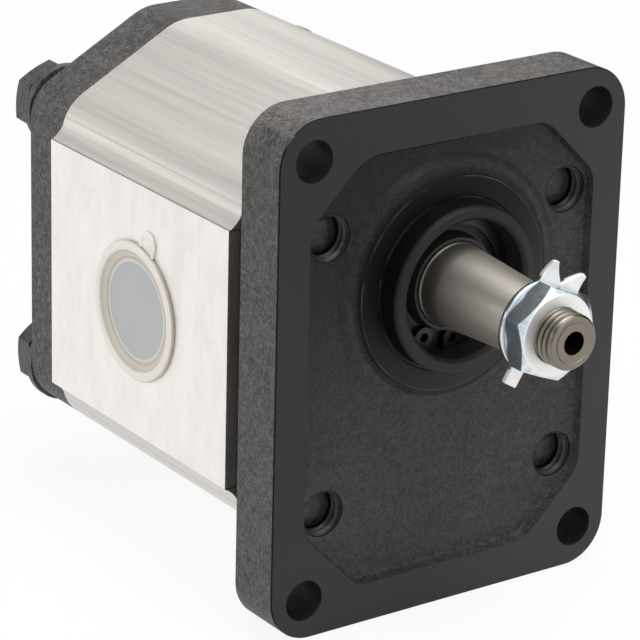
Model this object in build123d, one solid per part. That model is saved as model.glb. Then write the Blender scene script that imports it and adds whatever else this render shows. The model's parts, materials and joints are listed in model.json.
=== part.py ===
"""External gear pump with a rectangular mounting flange and a 1:8 tapered drive shaft.

Frame: millimetres, +Z up. The origin is on the drive shaft's axis, in the plane of the
machined mounting face. The shaft points along -Y, the pump's body lies along +Y, and
the driven gear turns below the drive gear. Suction port on -X, pressure port on +X.
"""

import os
from math import acos, asin, atan, atan2, cos, degrees, hypot, pi, radians, sin, sqrt, tan

from build123d import *

# ---- Mounting flange (cast iron, bolted against a gearbox or bracket)
mount_spacing_x = 71.5
mount_spacing_z = 96.0
mount_hole = 9.0
mount_to_side = 8.25
mount_to_end = 8.8
flange_thickness = 13.4
flange_corner = 10.0
flange_edge_break = 0.25

# ---- Cast recess in the mounting face, with a turned ring round the pilot
land_side = 7.75
land_top = 9.8
land_bottom = 8.9
land_round_hole = 5.2
recess_depth = 2.0
recess_rounds = {(-1, 1): 10.0, (1, 1): 7.0, (1, -1): 7.0, (-1, -1): 4.0}
recess_draft = 0.8
recess_floor_round = 0.8
pilot_diameter = 36.5
pilot_length = 5.0
pilot_chamfer = 0.8
pilot_relief_width = 0.8
pilot_relief_depth = 0.3
ring_width = 5.2
ring_step = 0.7
shelf_width = 2.7
shelf_fall = 0.2
ring_skirt = 1.6

# ---- Body: extruded aluminium, with a milled port pad on each side
body_width = 80.0
body_side = 70.0
body_height = 102.0
body_top = 20.8
body_side_round = 10.0
body_top_round = 12.0
body_length = 70.5
pad_height = 57.2
pad_rise = 2.7
pad_flank = 4.8
pad_foot_sink = 1.1
pad_flank_hollow = 0.7
collar_length = 6.5
cover_thickness = 14.0
cover_edge_round = 0.8

# ---- Gears
gear_centres = 31.0
gear_teeth = 12
pressure_angle = 25.0
gear_width = 33.0
root_clearance = 0.25
backlash = 0.24
root_round = 0.4
tip_clearance = 0.1
side_clearance = 0.06

# ---- Journals, bushes and bearing blocks
journal_diameter = 18.5
journal_clearance = 0.03
journal_end_gap = 1.2
bush_wall = 1.6
seat_gap = 0.02
block_end_gap = 0.1
relief_width = 9.0
relief_reach = 5.0
relief_depth = 1.5
relief_bridge = 2.6

# ---- Elastomer seals in grooves
block_seal_offset = 2.5
block_seal_width = 1.9
block_seal_depth = 2.6
backup_width = 0.7
groove_play = 0.05
body_seal_offset = 2.6
body_seal_width = 2.2
body_seal_depth = 1.6

# ---- Shaft seal, bore for it in the pilot, and its retaining ring
seal_bore = 30.0
seal_thickness = 7.0
seal_metal = 1.2
seal_lip_gap = 0.1
seal_spring_wire = 1.4
dust_lip_front = -0.3
dust_lip_thickness = 0.7
ring_front = 1.5
retaining_thickness = 1.2
retaining_groove_depth = 0.7
retaining_play = 0.1
retaining_width = 2.6
retaining_lug = 2.3
retaining_lug_hole = 1.0
retaining_lug_angle = 17.0
retaining_gap_angle = 260.0
shaft_hole_gap = 0.75

# ---- Drive shaft's outer end
taper_start = 1.0
taper_diameter = 17.9
taper_ratio = 8.0
taper_length = 26.8
thread_diameter = 12.0
thread_root = 10.16
shaft_reach = 40.0
shaft_chamfer = 0.9
centre_hole = 5.0
centre_hole_depth = 7.0
key_width = 3.2
key_disc = 13.0
key_height = 5.0
key_rise = 1.4
key_along = 13.0
key_angle = 330.0
key_play = 0.02

# ---- Shaft nut and tab washer
nut_across_flats = 18.0
nut_height = 6.0
nut_angle = 38.0
washer_diameter = 19.4
washer_thickness = 1.2
washer_angle = 59.0
tab_reach = 14.0
tab_foot = 5.2
tab_tip = 2.2
tab_spread = 18.0
lock_tab_width = 3.2
lock_tab_reach = 13.3
washer_bore_gap = 0.2
nut_bore_chamfer = 0.9
thread_play = 0.03

# ---- Through bolts, their washers and the locating dowels
bolt_diameter = 10.0
bolt_to_side = 9.75
bolt_to_end = 20.75
bolt_hole_gap = 0.25
bolt_across_flats = 15.0
bolt_head_height = 5.5
bolt_head_turns = (33.0, 25.0, 8.0, 49.0)
bolt_tip_recess = 3.2
bolt_tip_diameter = 8.1
bolt_tip_dome = 0.45
bolt_washer_diameter = 19.4
bolt_washer_thickness = 2.0
lock_washer_diameter = 16.2
lock_washer_thickness = 2.4
dowel_diameter = 5.0
dowel_length = 12.0
dowel_across = 28.0
dowel_up = 86.0

# ---- Ports and their transit plugs
thread_pitch = 1.5
inlet_thread = 26.0
outlet_thread = 22.0
port_thread_depth = 16.0
inlet_passage = 18.0
outlet_passage = 15.0
port_chamfer = 0.8
plug_lip_overhang = 2.6
plug_lip_height = 1.3
plug_rim_width = 1.9
plug_floor_slope = 2.8
plug_floor_sink = 1.7
plug_wall = 1.5
plug_shank = 9.5
plug_gap = 0.3
plug_tab_width = 5.8
plug_tab_reach = 4.6
plug_tab_angle = 17.0

# ---- Places that follow from the sizes above
section_z = -gear_centres / 2
flange_width = mount_spacing_x + 2 * mount_to_side
flange_height = mount_spacing_z + 2 * mount_to_end
bolt_spacing_x = body_width - 2 * bolt_to_side
bolt_spacing_z = body_height - 2 * bolt_to_end
plate_back = flange_thickness
body_front = plate_back + collar_length
body_back = body_front + body_length
cover_back = body_back + cover_thickness
body_middle = (body_front + body_back) / 2
pad_face = body_width / 2 + pad_rise

module_size = gear_centres / gear_teeth
tip_radius = module_size * (gear_teeth / 2 + 1)
root_radius = module_size * (gear_teeth / 2 - 1 - root_clearance)
base_radius = gear_centres / 2 * cos(radians(pressure_angle))
chamber_radius = tip_radius + tip_clearance
gear_front = body_middle - gear_width / 2
gear_back = body_middle + gear_width / 2
tooth_step = 360 / gear_teeth
mesh_angle = -90.0

journal_radius = journal_diameter / 2
bush_inner = journal_radius + journal_clearance
bush_outer = bush_inner + bush_wall
block_radius = chamber_radius - seat_gap
drive_z = 0.0
driven_z = -gear_centres

recess_floor = recess_depth
ring_radius = pilot_diameter / 2 + ring_width
seal_radius = seal_bore / 2
retaining_back = ring_front + retaining_thickness
seal_front = retaining_back + retaining_play
seal_back = seal_front + seal_thickness

taper_end = taper_start + taper_length
washer_front = taper_end + washer_thickness
nut_front = washer_front + nut_height
washer_back = cover_back + bolt_washer_thickness
head_seat = washer_back + lock_washer_thickness
bolt_tip = recess_floor + bolt_tip_recess


# ---- Helpers: everything is drawn in X and Z and carried along Y
def along(profile, start, end):
    """The profile, drawn in X and Z, carried along Y from start to end."""
    return extrude(Plane.XZ.offset(-start) * profile, amount=end - start, dir=(0, 1, 0))


def rod(radius, start, end, x=0.0, z=0.0):
    """A round bar along Y."""
    return along(Pos(x, z) * Circle(radius), start, end)


def turned(*points):
    """A solid turned about the Y axis from (radius, y) points."""
    return revolve(make_face(Polyline(*points, close=True)), Axis.Y)


def corners(width, height):
    """The four corners of a rectangle round the section's centre, as (x, z)."""
    return [(x * width / 2, section_z + z * height / 2) for x in (-1, 1) for z in (-1, 1)]


def section(width, side, height, top):
    """Eight-sided outline of body, collar and cover, its corners rounded."""
    x, z, half_side, half_top = width / 2, height / 2, side / 2, top / 2
    outline = [
        (half_top, z), (x, half_side), (x, -half_side), (half_top, -z),
        (-half_top, -z), (-x, -half_side), (-x, half_side), (-half_top, z),
    ]
    face = make_face(Polyline(*outline, close=True))
    slope = atan2(z - half_side, x - half_top)
    top_limit = 0.95 * half_top / tan(slope / 2)
    slant = hypot(x - half_top, z - half_side)
    side_limit = 0.45 * slant / tan((pi / 2 - slope) / 2)
    at_top = [v for v in face.vertices() if abs(abs(v.Y) - z) < seat_gap]
    face = fillet(at_top, min(body_top_round, top_limit))
    at_side = [v for v in face.vertices() if abs(abs(v.X) - x) < seat_gap]
    return Pos(0, section_z) * fillet(at_side, min(body_side_round, side_limit))


def figure_eight(radius):
    """Two overlapping circles, one round each gear's axis."""
    return Pos(0, drive_z) * Circle(radius) + Pos(0, driven_z) * Circle(radius)


def hexagon_head(across_flats, start, end, bevel_start, bevel_end, angle=0.0):
    """A hexagon bar whose ends are turned down to a 30 degree bevel."""
    corner = across_flats / sqrt(3)
    face_radius = 0.475 * across_flats
    rise = (corner - face_radius) * tan(radians(30))
    first = start + rise if bevel_start else start
    last = end - rise if bevel_end else end
    low = face_radius if bevel_start else corner
    high = face_radius if bevel_end else corner
    bar = along(Rot(0, 0, angle) * RegularPolygon(corner, 6), start, end)
    turning = [(0, start), (low, start), (corner, first), (corner, last), (high, end), (0, end)]
    kept = [p for n, p in enumerate(turning) if n == 0 or p != turning[n - 1]]
    return bar & turned(*kept)


# ---- Housing
body_section = section(body_width, body_side, body_height, body_top)


def bolt_holes(radius, start, end):
    """Four parallel holes for the through bolts."""
    return [rod(radius, start, end, x, z) for x, z in corners(bolt_spacing_x, bolt_spacing_z)]


def dowel_places():
    """Two dowels on a diagonal, one above and one below the gears."""
    return [
        (dowel_across / 2, section_z + dowel_up / 2),
        (-dowel_across / 2, section_z - dowel_up / 2),
    ]


def dowel_holes(joint_face):
    """Holes for a pair of dowels, centred on a joint face."""
    deep = dowel_length / 2 + seat_gap
    radius = dowel_diameter / 2 + seat_gap
    return [rod(radius, joint_face - deep, joint_face + deep, x, z) for x, z in dowel_places()]


def recess_outline(inset):
    """Rectangle with its corners cut off, so that land stays round each mounting hole."""
    x = flange_width / 2 - land_side - inset
    top = flange_height / 2 - land_top - inset
    low = flange_height / 2 - land_bottom - inset
    hole_x, hole_z = mount_spacing_x / 2, mount_spacing_z / 2
    cut_line = hole_x + hole_z - (mount_hole / 2 + land_round_hole + inset) * sqrt(2)
    top_leg = x + top - cut_line
    low_leg = x + low - cut_line
    outline = [
        (x - top_leg, top), (x, top - top_leg), (x, low_leg - low), (x - low_leg, -low),
        (low_leg - x, -low), (-x, low_leg - low), (-x, top - top_leg), (top_leg - x, top),
    ]
    face = make_face(Polyline(*outline, close=True))
    for (x_side, z_side), radius in recess_rounds.items():
        corner = [v for v in face.vertices() if v.X * x_side > 0 and v.Y * z_side > 0]
        face = fillet(corner, radius - inset)
    return Pos(0, section_z) * face


def recess_hollow():
    """The cast recess as a solid: sloping walls, with a round where they meet the floor."""
    mouth = Plane.XZ * recess_outline(0)
    floor = Plane.XZ.offset(-recess_floor) * recess_outline(recess_draft)
    hollow = loft([mouth, floor], ruled=True)
    return fillet(hollow.faces().sort_by(Axis.Y)[-1].edges(), recess_floor_round)


def pilot_boss():
    """Pilot spigot, the turned ring flush with the mounting face, and its cast foot."""
    pilot = pilot_diameter / 2
    shelf = ring_radius + shelf_width
    return turned(
        (0, recess_floor),
        (shelf + ring_skirt, recess_floor),
        (shelf, ring_step + shelf_fall),
        (ring_radius + shelf_fall, ring_step),
        (ring_radius, 0),
        (pilot + pilot_relief_width, 0),
        (pilot + pilot_relief_width, pilot_relief_depth),
        (pilot, pilot_relief_depth),
        (pilot, pilot_chamfer - pilot_length),
        (pilot - pilot_chamfer, -pilot_length),
        (0, -pilot_length),
    )


def seal_pocket():
    """Bore for the shaft seal with its retaining-ring groove, and the shaft's way through."""
    shaft_way = journal_radius + shaft_hole_gap
    groove = seal_radius + retaining_groove_depth
    mouth = seal_radius + pilot_chamfer
    return turned(
        (0, -pilot_length),
        (mouth, -pilot_length),
        (seal_radius, pilot_chamfer - pilot_length),
        (seal_radius, ring_front - retaining_play),
        (groove, ring_front - retaining_play),
        (groove, seal_front),
        (seal_radius, seal_front),
        (seal_radius, seal_back + retaining_play),
        (shaft_way, seal_back + retaining_play),
        (shaft_way, body_front),
        (0, body_front),
    )


def make_front_flange():
    plate_outline = RectangleRounded(flange_width, flange_height, flange_corner)
    plate = along(Pos(0, section_z) * plate_outline, 0, plate_back)
    plate = chamfer(plate.faces().sort_by(Axis.Y)[0].edges(), flange_edge_break)
    casting = plate + along(body_section, plate_back, body_front)
    casting -= recess_hollow()
    casting += pilot_boss()
    casting -= seal_pocket()
    for x, z in corners(mount_spacing_x, mount_spacing_z):
        casting -= rod(mount_hole / 2, 0, plate_back, x, z)
    for hole in bolt_holes(bolt_diameter / 2 + thread_play, recess_floor, body_front):
        casting -= hole
    for hole in dowel_holes(body_front):
        casting -= hole
    return casting


def pad_outline():
    """Port pads on both sides, each flank hollowed out by a round cutter."""
    edge = Vector(pad_face, pad_height / 2)
    foot = Vector(body_width / 2 - pad_foot_sink, pad_height / 2 + pad_flank)
    chord = edge - foot
    hollow = Vector(chord.Y, -chord.X).normalized() * pad_flank_hollow
    middle = (edge + foot) / 2 + hollow
    points = [(v.X, v.Y) for v in (foot, middle, edge)]
    below = [(x, -z) for x, z in reversed(points)]
    outline = [
        ThreePointArc(*points),
        Line(points[-1], below[0]),
        ThreePointArc(*below),
        Line(below[-1], points[0]),
    ]
    pad = make_face(outline)
    return Pos(0, section_z) * (pad + mirror(pad, Plane.YZ))


def seal_ring(offset_from_chamber, width):
    """Closed figure-eight ring round both bores."""
    inner = chamber_radius + offset_from_chamber
    return figure_eight(inner + width) - figure_eight(inner)


def port_bore(thread, passage, side):
    """Tapped port and its smaller passage into the gear chamber, on the -X or +X side."""
    minor = (thread - 1.0825 * thread_pitch) / 2
    mouth = thread / 2 + port_chamfer / 2
    depth = pad_face - port_thread_depth
    outline = [
        (pad_face, 0), (pad_face, mouth), (pad_face - (mouth - minor), minor),
        (depth, minor), (depth, passage / 2), (0, passage / 2), (0, 0),
    ]
    half = make_face(Polyline(*[(side * x, r) for x, r in outline], close=True))
    return Pos(0, body_middle, section_z) * revolve(half, Axis.X)


def make_pump_body():
    body = along(body_section + pad_outline(), body_front, body_back)
    body -= along(figure_eight(chamber_radius), body_front, body_back)
    body -= port_bore(inlet_thread, inlet_passage, -1)
    body -= port_bore(outlet_thread, outlet_passage, 1)
    groove = seal_ring(body_seal_offset - groove_play, body_seal_width + 2 * groove_play)
    body -= along(groove, body_front, body_front + body_seal_depth)
    body -= along(groove, body_back - body_seal_depth, body_back)
    for hole in bolt_holes(bolt_diameter / 2 + bolt_hole_gap, body_front, body_back):
        body -= hole
    for hole in dowel_holes(body_front) + dowel_holes(body_back):
        body -= hole
    return body


def make_rear_cover():
    cover = along(body_section, body_back, cover_back)
    cover = fillet(cover.faces().sort_by(Axis.Y)[-1].edges(), cover_edge_round)
    for hole in bolt_holes(bolt_diameter / 2 + bolt_hole_gap, body_back, cover_back):
        cover -= hole
    for hole in dowel_holes(body_back):
        cover -= hole
    return cover


# ---- Gears
def involute(angle):
    """Involute function of an angle in radians."""
    return tan(angle) - angle


def tooth_outline():
    """One tooth pointing along +X: involute flanks from the root circle to the tip."""
    working = radians(pressure_angle)
    half_at_pitch = (pi * module_size - backlash) / (2 * gear_centres)
    half_at_base = half_at_pitch + involute(working)
    steps = 6
    flank = []
    for step in range(steps + 1):
        radius = base_radius + (tip_radius - base_radius) * step / steps
        turn = half_at_base - involute(acos(base_radius / radius))
        flank.append((radius * cos(turn), radius * sin(turn)))
    foot = root_radius * 0.9
    low = (foot * cos(half_at_base), foot * sin(half_at_base))
    below = [(x, -y) for x, y in flank]
    edges = [
        Line(low, flank[0]),
        Spline(*flank),
        ThreePointArc(flank[-1], (tip_radius, 0), below[-1]),
        Spline(*reversed(below)),
        Line(below[0], (low[0], -low[1])),
        Line((low[0], -low[1]), low),
    ]
    return make_face(edges)


def gear_outline(first_tooth):
    """All the teeth on the root circle, one of them at the angle first_tooth."""
    tooth = tooth_outline()
    blank = Circle(root_radius)
    for number in range(gear_teeth):
        blank += Rot(0, 0, first_tooth + number * tooth_step) * tooth
    inner = [v for v in blank.vertices() if hypot(v.X, v.Y) < root_radius + seat_gap]
    return fillet(inner, root_round)


def make_drive_gear_shaft():
    """Drive gear, both journals, the 1:8 taper and the threaded end, in one piece."""
    small = (taper_diameter - taper_length / taper_ratio) / 2
    thread = thread_root / 2
    land = journal_radius - taper_diameter / 2
    bar = turned(
        (0, -shaft_reach),
        (thread - shaft_chamfer, -shaft_reach),
        (thread, shaft_chamfer - shaft_reach),
        (thread, -taper_end),
        (small, -taper_end),
        (taper_diameter / 2, -taper_start),
        (journal_radius, land - taper_start),
        (journal_radius, body_back - journal_end_gap),
        (0, body_back - journal_end_gap),
    )
    shaft = bar + along(gear_outline(mesh_angle), gear_front, gear_back)
    cone = centre_hole / 2 / tan(radians(30))
    shaft -= turned(
        (0, -shaft_reach),
        (centre_hole / 2, -shaft_reach),
        (centre_hole / 2, centre_hole_depth - shaft_reach),
        (0, centre_hole_depth + cone - shaft_reach),
    )
    return shaft - key_blank(key_play)


def make_driven_gear_shaft():
    shaft = rod(journal_radius, body_front + journal_end_gap, body_back - journal_end_gap)
    half_step = mesh_angle + 180 + tooth_step / 2
    return Pos(0, 0, driven_z) * (shaft + along(gear_outline(half_step), gear_front, gear_back))


def key_blank(play):
    """Woodruff key: a slice of a disc, its flat top parallel to the taper's surface."""
    lean = degrees(atan(1 / (2 * taper_ratio)))
    taper_here = (taper_diameter - key_along / taper_ratio) / 2
    top = key_height - key_disc / 2
    above_top = Pos(0, top + key_disc) * Rectangle(4 * key_disc, 2 * key_disc)
    disc = Circle(key_disc / 2 + play) - above_top
    blank = extrude(disc, amount=key_width / 2 + play, both=True)
    standing = Plane(origin=(0, 0, 0), x_dir=(0, 1, 0), z_dir=(1, 0, 0)) * blank
    lifted = Pos(0, 0, taper_here + key_rise) * Rot(lean, 0, 0) * Pos(0, 0, -top) * standing
    return Rot(0, 90 - key_angle, 0) * Pos(0, -taper_start - key_along, 0) * lifted


# ---- Bearings
def end_spans():
    """Y span of the front and the rear bearing block."""
    front = (body_front + block_end_gap, gear_front - side_clearance)
    rear = (gear_back + side_clearance, body_back - block_end_gap)
    return front, rear


def block_seal_path(width, shift):
    """A 3-shaped strip round both journals, open towards the suction side."""
    middle = block_radius - block_seal_offset + shift
    ring = figure_eight(middle + width / 2) - figure_eight(middle - width / 2)
    suction_side = Pos(-block_radius, section_z) * Rectangle(
        2 * (block_radius - relief_reach), gear_centres
    )
    return ring - suction_side


def make_bearing_block(front):
    """Spectacle-shaped block: bush bores, 3-shaped groove outside, relief pockets inside."""
    start, end = end_spans()[0 if front else 1]
    block = along(figure_eight(block_radius), start, end)
    for z in (drive_z, driven_z):
        block -= rod(bush_outer + seat_gap, start, end, 0, z)
    total = block_seal_width + backup_width + 3 * groove_play
    groove = block_seal_path(total, 0)
    outer, inner = (start, end) if front else (end, start)
    into = 1 if front else -1
    block -= along(groove, *sorted((outer, outer + into * block_seal_depth)))
    for side in (-1, 1):
        pocket = Pos(side * (relief_bridge + relief_reach / 2), section_z) * Rectangle(
            relief_reach, relief_width
        )
        block -= along(pocket, *sorted((inner, inner - into * relief_depth)))
    return block


def make_bush(front, z):
    start, end = end_spans()[0 if front else 1]
    return along(Pos(0, z) * (Circle(bush_outer) - Circle(bush_inner)), start, end)


def make_block_seal(front, backup):
    """Elastomer seal or its thin backup strip, side by side in the same groove."""
    start, end = end_spans()[0 if front else 1]
    outer, into = (start, 1) if front else (end, -1)
    shift = (block_seal_width + groove_play) / 2 if backup else -(backup_width + groove_play) / 2
    strip = block_seal_path(backup_width if backup else block_seal_width, shift)
    housing_face = outer - into * block_end_gap
    return along(strip, *sorted((housing_face, outer + into * block_seal_depth)))


def make_body_seal(joint_face, into):
    ring = seal_ring(body_seal_offset, body_seal_width)
    return along(ring, *sorted((joint_face, joint_face + into * body_seal_depth)))


# ---- Shaft seal
def make_seal_case():
    """L-shaped metal case pressed into the pilot."""
    outer = seal_radius - seat_gap
    inner = outer - seal_metal
    bend = (inner + journal_radius) / 2
    return turned(
        (bend, seal_front),
        (outer, seal_front),
        (outer, seal_back),
        (inner, seal_back),
        (inner, seal_front + seal_metal),
        (bend, seal_front + seal_metal),
    )


def lip_groove_radius():
    return journal_radius + seal_lip_gap + 1.3 * seal_spring_wire


def make_seal_lip():
    """Rubber lip with a spring groove behind, and a dust lip reaching forward on the journal."""
    case_bend = (seal_radius - seat_gap - seal_metal + journal_radius) / 2
    touch = journal_radius + seal_lip_gap
    groove = lip_groove_radius()
    spring_y = seal_back - seal_spring_wire
    body = turned(
        (touch + dust_lip_thickness, dust_lip_front),
        (touch + 2 * dust_lip_thickness, seal_front),
        (case_bend - seat_gap, seal_front),
        (case_bend - seat_gap, seal_front + seal_metal),
        (groove, seal_front + 2 * seal_metal),
        (groove + seal_spring_wire / 2, seal_back),
        (touch + seal_metal / 2, seal_back),
        (touch, spring_y),
        (touch + seal_metal, seal_front + 2 * seal_metal),
        (touch, seal_front),
        (touch, dust_lip_front),
    )
    return body - spring_torus(seal_spring_wire / 2 + seat_gap)


def spring_torus(wire_radius):
    """Ring of round wire lying in the lip's groove."""
    radius = lip_groove_radius() + seal_spring_wire / 2
    middle = seal_back - seal_spring_wire
    return revolve(Pos(radius, middle) * Circle(wire_radius), Axis.Y)


def make_retaining_ring():
    """Internal retaining ring: widest opposite its gap, with a drilled lug at each end."""
    outer = seal_radius + retaining_groove_depth - retaining_play
    inner = outer - retaining_width
    gap = radians(retaining_gap_angle)
    shift = retaining_width / 5
    ring = Circle(outer) - Pos(shift * cos(gap), shift * sin(gap)) * Circle(inner)
    centre_line = outer - retaining_lug - retaining_lug_hole / 2
    reach = 2 * outer
    half_gap = radians(retaining_lug_angle) - asin(retaining_lug / centre_line)
    edges = [gap - half_gap, gap + half_gap]
    wedge = [(0, 0)] + [(reach * cos(a), reach * sin(a)) for a in edges]
    holes = []
    for side in (-1, 1):
        angle = gap + side * radians(retaining_lug_angle)
        place = Pos(centre_line * cos(angle), centre_line * sin(angle))
        ring += place * Circle(retaining_lug)
        holes.append(place * Circle(retaining_lug_hole))
    ring = ring & Circle(outer)
    ring -= make_face(Polyline(*wedge, close=True))
    for hole in holes:
        ring -= hole
    return along(ring, ring_front, retaining_back)


# ---- Fasteners
def make_through_bolts():
    """Four hexagon bolts put in from the cover and screwed into the flange."""
    radius, tip = bolt_diameter / 2, bolt_tip_diameter / 2
    shank = turned(
        (0, bolt_tip),
        (tip / 2, bolt_tip + bolt_tip_dome / 4),
        (tip, bolt_tip + bolt_tip_dome),
        (radius, bolt_tip + bolt_tip_dome + radius - tip),
        (radius, head_seat),
        (0, head_seat),
    )
    head_end = head_seat + bolt_head_height
    bolts = []
    for (x, z), turn in zip(corners(bolt_spacing_x, bolt_spacing_z), bolt_head_turns):
        head = hexagon_head(bolt_across_flats, head_seat, head_end, False, True, angle=turn)
        bolts.append(Pos(x, 0, z) * (shank + head))
    return bolts


def make_washers(diameter, start, end):
    """Four round washers on the through bolts."""
    ring = Circle(diameter / 2) - Circle(bolt_diameter / 2 + bolt_hole_gap)
    washer = along(ring, start, end)
    return [Pos(x, 0, z) * washer for x, z in corners(bolt_spacing_x, bolt_spacing_z)]


def make_dowels(joint_face):
    half = dowel_length / 2
    radius = dowel_diameter / 2
    return [rod(radius, joint_face - half, joint_face + half, x, z) for x, z in dowel_places()]


def make_shaft_nut():
    nut = hexagon_head(nut_across_flats, -nut_front, -washer_front, True, True, angle=nut_angle)
    bore = thread_root / 2 + thread_play
    mouth = bore + nut_bore_chamfer
    return nut - turned(
        (0, -nut_front),
        (mouth, -nut_front),
        (bore, nut_bore_chamfer - nut_front),
        (bore, -nut_bore_chamfer - washer_front),
        (mouth, -washer_front),
        (0, -washer_front),
    )


def tab_outline(angle, foot, tip, reach):
    """A washer tab pointing outwards, as wide as foot at the disc and tip at its end."""
    start = washer_diameter / 4
    shape = make_face(
        Polyline(
            (start, foot / 2), (reach, tip / 2), (reach, -tip / 2), (start, -foot / 2), close=True
        )
    )
    end = [v for v in shape.vertices() if v.X > (start + reach) / 2]
    shape = fillet(end, tip * 0.42)
    return Rot(0, 0, angle) * shape


def make_tab_washer():
    """Locking washer: two bent-up teeth on one side and one square tab opposite."""
    disc = Circle(washer_diameter / 2)
    for side in (-1, 1):
        disc += tab_outline(washer_angle + side * tab_spread, tab_foot, tab_tip, tab_reach)
    square = Pos(lock_tab_reach / 2, 0) * Rectangle(lock_tab_reach, lock_tab_width)
    disc += Rot(0, 0, washer_angle + 180) * square
    disc -= Circle(thread_diameter / 2 + washer_bore_gap)
    return along(disc, -washer_front, -taper_end)


# ---- Transit plugs
def make_port_plug(thread, side):
    """Push-in plug: rimmed lip on the pad, shallow dished floor, thin shank and a pull tab."""
    minor = (thread - 1.0825 * thread_pitch) / 2
    shank = minor - plug_gap
    lip = thread / 2 + plug_lip_overhang
    rim = lip - plug_rim_width
    floor = rim - plug_floor_slope
    top, bottom = plug_lip_height, -plug_floor_sink
    edge = plug_rim_width / 3
    outline = [
        (bottom, 0), (bottom, floor), (top, rim), (top, lip - edge), (top - edge, lip),
        (0, lip), (0, shank), (-plug_shank, shank), (-plug_shank, shank - plug_wall),
        (bottom - plug_wall, shank - plug_wall), (bottom - plug_wall, 0),
    ]
    half = make_face(Polyline(*[(side * (pad_face + x), r) for x, r in outline], close=True))
    plug = revolve(half, Axis.X)
    tab_start = (rim + lip) / 2
    length = lip + plug_tab_reach - tab_start
    lean = Rot(0, 0, 90 + plug_tab_angle)
    strip = lean * Pos(tab_start, 0) * (
        Pos((length - plug_tab_width / 2) / 2, 0) * Rectangle(length - plug_tab_width / 2, plug_tab_width)
        + Pos(length - plug_tab_width / 2, 0) * Circle(plug_tab_width / 2)
    )
    tab_height = top - edge
    tab = extrude(Plane.YZ.offset(side * pad_face) * strip, amount=side * tab_height, dir=(1, 0, 0))
    return Pos(0, body_middle, section_z) * (plug + tab)


# ---- Every piece, one file each
pieces = {
    "front_flange": make_front_flange(),
    "pump_body": make_pump_body(),
    "rear_cover": make_rear_cover(),
    "drive_gear_shaft": make_drive_gear_shaft(),
    "driven_gear_shaft": make_driven_gear_shaft(),
    "front_bearing_block": make_bearing_block(True),
    "rear_bearing_block": make_bearing_block(False),
    "drive_front_bush": make_bush(True, drive_z),
    "drive_rear_bush": make_bush(False, drive_z),
    "driven_front_bush": make_bush(True, driven_z),
    "driven_rear_bush": make_bush(False, driven_z),
    "front_block_seal": make_block_seal(True, False),
    "rear_block_seal": make_block_seal(False, False),
    "front_backup_strip": make_block_seal(True, True),
    "rear_backup_strip": make_block_seal(False, True),
    "front_body_seal": make_body_seal(body_front, 1),
    "rear_body_seal": make_body_seal(body_back, -1),
    "shaft_seal_case": make_seal_case(),
    "shaft_seal_lip": make_seal_lip(),
    "shaft_seal_spring": spring_torus(seal_spring_wire / 2),
    "retaining_ring": make_retaining_ring(),
    "front_dowels": make_dowels(body_front),
    "rear_dowels": make_dowels(body_back),
    "through_bolts": make_through_bolts(),
    "bolt_washers": make_washers(bolt_washer_diameter, cover_back, washer_back),
    "bolt_lock_washers": make_washers(lock_washer_diameter, washer_back, head_seat),
    "shaft_key": key_blank(0),
    "tab_washer": make_tab_washer(),
    "shaft_nut": make_shaft_nut(),
    "inlet_plug": make_port_plug(inlet_thread, -1),
    "outlet_plug": make_port_plug(outlet_thread, 1),
}

os.makedirs("parts", exist_ok=True)
for name, shape in pieces.items():
    solid = Compound(children=shape) if isinstance(shape, list) else shape
    export_step(solid, f"parts/{name}.step")
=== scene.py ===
# %% [markdown]
# # An external gear pump with a tapered drive shaft
# The pump is a stack of machined parts: a black cast flange in front, an extruded aluminium
# body with a tapped port on each side, and a black cast cover behind. The solids come from the
# CAD model. This lesson gives them their finishes and adds the small shapes that the solids
# leave out: threads, the plugs' soft rims and tongues, and the tab washer's bent points.

import json

import bmesh
import bpy
import numpy as np
from mathutils import Matrix, Vector

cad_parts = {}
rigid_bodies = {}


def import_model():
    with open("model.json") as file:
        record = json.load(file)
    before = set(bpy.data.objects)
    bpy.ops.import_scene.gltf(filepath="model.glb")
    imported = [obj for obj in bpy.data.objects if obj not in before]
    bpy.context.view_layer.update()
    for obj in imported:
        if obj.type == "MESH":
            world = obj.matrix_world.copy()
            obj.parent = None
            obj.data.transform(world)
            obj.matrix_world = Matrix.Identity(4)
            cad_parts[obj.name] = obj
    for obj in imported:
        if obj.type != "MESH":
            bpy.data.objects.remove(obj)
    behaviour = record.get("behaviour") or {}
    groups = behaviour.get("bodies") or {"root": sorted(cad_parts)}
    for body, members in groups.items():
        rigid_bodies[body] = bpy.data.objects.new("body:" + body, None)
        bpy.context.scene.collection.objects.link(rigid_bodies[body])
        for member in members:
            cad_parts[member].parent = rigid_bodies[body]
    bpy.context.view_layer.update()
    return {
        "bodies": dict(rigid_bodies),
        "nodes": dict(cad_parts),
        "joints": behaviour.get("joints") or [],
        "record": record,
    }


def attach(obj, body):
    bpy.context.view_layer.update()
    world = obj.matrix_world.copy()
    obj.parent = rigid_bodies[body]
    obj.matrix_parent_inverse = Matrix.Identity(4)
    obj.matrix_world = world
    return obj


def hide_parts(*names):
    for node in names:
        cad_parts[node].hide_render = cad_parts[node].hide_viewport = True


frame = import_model()
nodes = frame["nodes"]
MM = 0.001
# The shaft's axis is at Z = 0, and the middle of flange, body and cover lies this far from it.
SECTION_Z = -15.5

# %% [markdown]
# ## The camera
# A long lens stands about 0.7 m away, to the left of the shaft and above it. Its place is given
# by where it stands and what it looks at. A small roll is left, as of a hand-set tripod.

# %% Camera
CAMERA_PLACE = Vector((-0.414406, -0.537698, 0.249920))
CAMERA_TARGET = Vector((0.0, 0.047259, -0.023537))
CAMERA_ROLL = np.radians(1.448)
CAMERA_LENS = 196.52

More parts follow.
